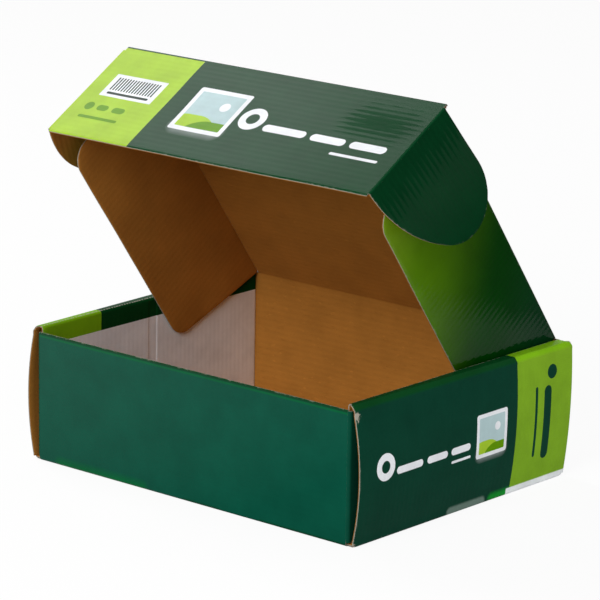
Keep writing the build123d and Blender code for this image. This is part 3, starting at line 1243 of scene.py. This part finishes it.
def outer_strip(fold, paint, radius, lead, wide=False):
    """Printed strip round the outside of a fold, after a straight lead. wide is for one along the flutes."""
    first, second = fold.outs
    turned = unit(second - first * (first @ second))
    angles = np.linspace(0, fold_angle(fold), 13)[:, None]
    out = np.cos(angles) * first + np.sin(angles) * turned
    path = fold.axis + radius * out
    if lead:
        path = np.concatenate([[path[0] - fold.alongs[0] * lead], path])
        out = np.concatenate([[first], out])
    before = path_length(path) - path_length(path)[-1]
    sheet = strip_sheet(
        fold.line, path, out, lambda places: (places, before) if wide else (before, places)
    )
    sizes = box().board
    finishes = (finish(paint), finish("raw_paper"))
    piece = paper_layer(f"{fold.name}_printed", sheet, finishes, sizes.liner, sizes.washboard / 4)
    bind(piece)


def inner_strip(fold):
    """Brown strip in the corner of a fold, between the inner faces of two panels."""
    half = BOARD / 2
    (first, second), (first_along, second_along) = fold.outs, fold.alongs
    meet = half * math.tan(fold_angle(fold) / 2)
    corner = fold.axis - half * first - first_along * meet
    start = fold.axis - half * first - first_along * (setback() + KRAFT_BACK)
    end = fold.axis - half * second + second_along * max(meet + KRAFT_AHEAD, LEAST_AHEAD)
    share = np.linspace(0, 1, 9)[:, None]
    path = (1 - share) ** 2 * start + 2 * share * (1 - share) * corner + share**2 * end
    slope = 2 * (1 - share) * (corner - start) + 2 * share * (end - corner)
    out = np.cross(slope, fold.line[2])
    out /= np.linalg.norm(out, axis=1, keepdims=True)
    if out[0] @ first > 0:
        out = -out
    steps = np.arange(len(path)) * KRAFT_STEP
    sheet = strip_sheet(fold.line, path + out * KRAFT_LIFT, out, lambda places: (places, steps))
    kraft = finish("kraft_liner")
    piece = paper_layer(f"{fold.name}_kraft", sheet, (kraft, kraft), KRAFT_STRIP)
    bind(piece)


# Stage

WHITE = (1.0, 1.0, 1.0, 1.0)
FLOOR_GREY = (0.72, 0.72, 0.72, 1.0)
FLOOR_GLOW = 1.05
GLOW_SHARE = 0.88
FLOOR_HALF = 12.0

# Lamps, as place, target and size
KEY_LAMP = ((0.42, -2.20, 1.40), (0, 0, 0.1), (1.2, 1.2))
TOP_LAMP = ((-1.40, 0.25, 1.75), (-0.1, -0.05, 0.235), (0.65, 0.65))
TOP_TURN = math.radians(35)
SIDE_LAMP = ((2.0, -0.3, 0.5), (0.13, 0.0, 0.045), (0.8, 0.8))
LOW_LAMP = ((0.435, 0.234, 0.003), (0.435, 0.234, 1.0), (0.37, 0.267))

SENSOR = 36
CLIP = (0.05, 60)
CAMERA_PLACE = (1.42949, -1.64938, 0.66706)
CAMERA_RIGHT = (0.75329, 0.65753, 0.01424)
CAMERA_UP = (-0.17398, 0.17835, 0.96847)
CAMERA_BACK = (0.63426, -0.73201, 0.24874)


def pale_floor():
    """Floor that is white to the camera, with a soft share of the real shadow."""
    paint = Painter("pale_floor")
    diffuse = paint.add("ShaderNodeBsdfDiffuse", [("Color", FLOOR_GREY)]).outputs[0]
    glow = paint.add("ShaderNodeEmission", [("Color", WHITE), ("Strength", FLOOR_GLOW)]).outputs[0]
    share = paint.maths("MULTIPLY", paint.seen(), GLOW_SHARE)
    paint.mixed_output("ShaderNodeOutputMaterial", share, diffuse, glow)
    half = FLOOR_HALF
    corners = [(-half, -half, 0), (half, -half, 0), (half, half, 0), (-half, half, 0)]
    mesh = bpy.data.meshes.new("stage_floor")
    mesh.from_pydata(corners, [], [(0, 1, 2, 3)])
    mesh.materials.append(paint.material)
    return linked("stage_floor", mesh)


def studio_world(strength):
    """Even light, and plain white behind the box."""
    world = bpy.data.worlds.new("studio")
    world.use_nodes = True
    nodes = Nodes(world.node_tree)
    soft, white = [
        nodes.add("ShaderNodeBackground", [("Color", WHITE), ("Strength", level)]).outputs[0]
        for level in (strength, 1.0)
    ]
    nodes.mixed_output("ShaderNodeOutputWorld", nodes.seen(), soft, white)
    bpy.context.scene.world = world


def softbox(name, layout, energy, turn=0.0, only=None):
    """Area lamp aimed at a point and turned about that line, which may light one piece only."""
    place, target, size = layout
    lamp = bpy.data.lights.new(name, "AREA")
    lamp.shape = "RECTANGLE"
    lamp.size, lamp.size_y = size
    lamp.energy = energy
    made = linked(name, lamp)
    made.location = place
    aim = (Vector(target) - Vector(place)).to_track_quat("-Z", "Y")
    made.rotation_euler = (aim @ Quaternion((0.0, 0.0, 1.0), turn)).to_euler()
    if only:
        lit = bpy.data.collections.new(f"{name}_receivers")
        lit.objects.link(bpy.data.objects[only])
        made.light_linking.receiver_collection = lit
        made.visible_camera = False
    return made


def photo_camera(lens):
    """Camera at the photograph's place."""
    data = bpy.data.cameras.new("photo_camera")
    data.sensor_width = SENSOR
    data.lens = lens
    data.clip_start, data.clip_end = CLIP
    made = linked("photo_camera", data)
    turn = Matrix((CAMERA_RIGHT, CAMERA_UP, CAMERA_BACK)).transposed()
    made.matrix_world = Matrix.Translation(CAMERA_PLACE) @ turn.to_4x4()
    bpy.context.scene.camera = made


# Operators


class MAILER_OT_walls(bpy.types.Operator):
    """Build the front wall, the floor, the back wall and the corner tabs"""

    bl_idname = "mailer_box.walls"
    bl_label = "Walls and Floor"

    def execute(self, context):
        front, back = box().fold.front_height, back_height()
        walls = [wall_sheet(height, -1, seed=21) for height in (front, front - PRINT_LIP)]
        board_pieces("front_wall", walls[0], "front_ink", "tray", WALL_RIPPLE, walls[1])
        board_pieces("floor", floor_sheet(), "plain_ink", "tray")
        board_pieces("back_wall", wall_sheet(back, 1, seed=22), "plain_ink", "tray")
        for name, height, side in (("front", front, -1), ("back", back, 1)):
            paired_pieces(f"{name}_tab", tab_sheet(height, side), ("plain_ink", "plain_ink"), "tray")
        return {"FINISHED"}


class MAILER_OT_sides(bpy.types.Operator):
    """Build the rolled side walls and their lock tabs"""

    bl_idname = "mailer_box.sides"
    bl_label = "Side Walls"

    def execute(self, context):
        right = side_sheet()
        lock = box().fold.lock_spacing / 2
        board_pieces("right_side", right, "side_ink", "tray", WALL_RIPPLE)
        board_pieces("left_side", left_print(right), "side_ink", "tray", WALL_RIPPLE)
        for name, y in (("front", -lock), ("back", lock)):
            paired_pieces(f"{name}_lock", lock_sheet(y), ("side_ink", "side_ink"), "tray")
        return {"FINISHED"}


class MAILER_OT_lid(bpy.types.Operator):
    """Build the lid panel"""

    bl_idname = "mailer_box.lid"
    bl_label = "Lid"

    def execute(self, context):
        board_pieces("lid", lid_sheet(), "plain_ink", "lid")
        return {"FINISHED"}


class MAILER_OT_tuck_flap(bpy.types.Operator):
    """Build the front flap"""

    bl_idname = "mailer_box.tuck_flap"
    bl_label = "Front Flap"

    def execute(self, context):
        board_pieces("tuck_flap", tuck_sheet(), "tuck_ink", "tuck_flap", TUCK_RIPPLE)
        return {"FINISHED"}


class MAILER_OT_ears(bpy.types.Operator):
    """Build the two ears of the front flap"""

    bl_idname = "mailer_box.ears"
    bl_label = "Ears"

    def execute(self, context):
        paired_pieces("ear", ear_sheet(), ("ear_ink", "lime_ink"), ripple=EAR_RIPPLE)
        return {"FINISHED"}


class MAILER_OT_dust_flaps(bpy.types.Operator):
    """Build the two dust flaps of the lid"""

    bl_idname = "mailer_box.dust_flaps"
    bl_label = "Dust Flaps"

    def execute(self, context):
        paired_pieces("dust_flap", dust_sheet(), ("dust_ink", "dust_ink"), ripple=DUST_RIPPLE)
        return {"FINISHED"}


class MAILER_OT_folds(bpy.types.Operator):
    """Build the bending strips of the folds that move"""

    bl_idname = "mailer_box.folds"
    bl_label = "Folds"

    def execute(self, context):
        half, lead = BOARD / 2, setback()
        tuck_half, hinge_half = EAR_AXIS[0] - setback(), tab_face() - bend()
        line = (-hinge_half, hinge_half, X_AXIS, WIDE_STEPS)
        hinge = Fold("lid_fold", HINGE, (Y_AXIS, LID_OUT), (Z_AXIS, LID_ALONG), line, ("tray", "lid"))
        outer_strip(hinge, "plain_ink", half, HINGE[2] - back_height() + FOLD_LAP, wide=True)
        inner_strip(hinge)
        line = (-tuck_half, tuck_half, X_AXIS, WIDE_STEPS)
        outs, alongs = (LID_OUT, TUCK_OUT), (LID_ALONG, TUCK_ALONG)
        tuck = Fold("tuck_fold", FRONT_FOLD, outs, alongs, line, ("lid", "tuck_flap"))
        outer_strip(tuck, "tuck_ink", half, lead, wide=True)
        inner_strip(tuck)
        along, _, out = ear_axes()
        ear_line = (EAR_START, EAR_REACH, TUCK_ALONG, EAR_STEPS)
        dust_line = (DUST_START, DUST_END, LID_ALONG, DUST_STEPS)
        root = DUST_AXIS - LID_ALONG * float((DUST_AXIS - HINGE) @ LID_ALONG)
        for name, flip, paint in (("right", np.ones(3), "ear_ink"), ("left", MIRROR, "lime_ink")):
            outs, alongs = (TUCK_OUT, out * flip), (X_AXIS * flip, along * flip)
            bodies = ("tuck_flap", f"{name}_ear")
            ear = Fold(f"{name}_ear_fold", EAR_AXIS * flip, outs, alongs, ear_line, bodies)
            outer_strip(ear, paint, half, lead)
            inner_strip(ear)
            outs, alongs = (LID_OUT, X_AXIS * flip), (X_AXIS * flip, -LID_OUT)
            bodies = ("lid", f"{name}_dust_flap")
            dust = Fold(f"{name}_dust_fold", root * flip, outs, alongs, dust_line, bodies)
            outer_strip(dust, "dust_ink", BOARD, 0.0)
        return {"FINISHED"}


class MAILER_OT_stage(bpy.types.Operator):
    """Build the floor, the lamps, the surroundings and the camera"""

    bl_idname = "mailer_box.stage"
    bl_label = "Stage"

    def execute(self, context):
        look = box().stage
        pale_floor()
        studio_world(look.surround)
        softbox("key_lamp", KEY_LAMP, look.key)
        softbox("top_lamp", TOP_LAMP, look.top, TOP_TURN)
        softbox("side_lamp", SIDE_LAMP, look.side, only="right_side_printed_liner")
        low = softbox("low_lamp", LOW_LAMP, look.low, only="right_dust_flap_printed_liner")
        low.visible_diffuse = False
        photo_camera(look.lens)
        context.scene.view_settings.view_transform = "Standard"
        return {"FINISHED"}


class MAILER_PT_panel(bpy.types.Panel):
    """Lists the parts of the box"""

    bl_idname = "MAILER_PT_panel"
    bl_label = "Mailer Box"
    bl_space_type = "VIEW_3D"
    bl_region_type = "UI"
    bl_category = "Mailer Box"

    def draw(self, context):
        column = self.layout.column()
        for item in OPERATORS:
            column.operator(item.bl_idname)
        for group in (box().board, box().fold, box().ink, box().stage):
            part = self.layout.box()
            for key in group.bl_rna.properties.keys():
                if key not in ("rna_type", "name"):
                    part.prop(group, key)


OPERATORS = (
    MAILER_OT_walls,
    MAILER_OT_sides,
    MAILER_OT_lid,
    MAILER_OT_tuck_flap,
    MAILER_OT_ears,
    MAILER_OT_dust_flaps,
    MAILER_OT_folds,
    MAILER_OT_stage,
)
CLASSES = (BoardSizes, FoldSizes, PrintColours, StageLook, MailerBox, *OPERATORS, MAILER_PT_panel)


def register():
    for item in CLASSES:
        bpy.utils.register_class(item)
    bpy.types.Scene.mailer_box = PointerProperty(type=MailerBox)


def unregister():
    del bpy.types.Scene.mailer_box
    for item in reversed(CLASSES):
        bpy.utils.unregister_class(item)


def main():
    """Builds the box and its stage."""
    register()
    for item in OPERATORS:
        group, name = item.bl_idname.split(".")
        getattr(getattr(bpy.ops, group), name)()


if __name__ == "__main__":
    main()
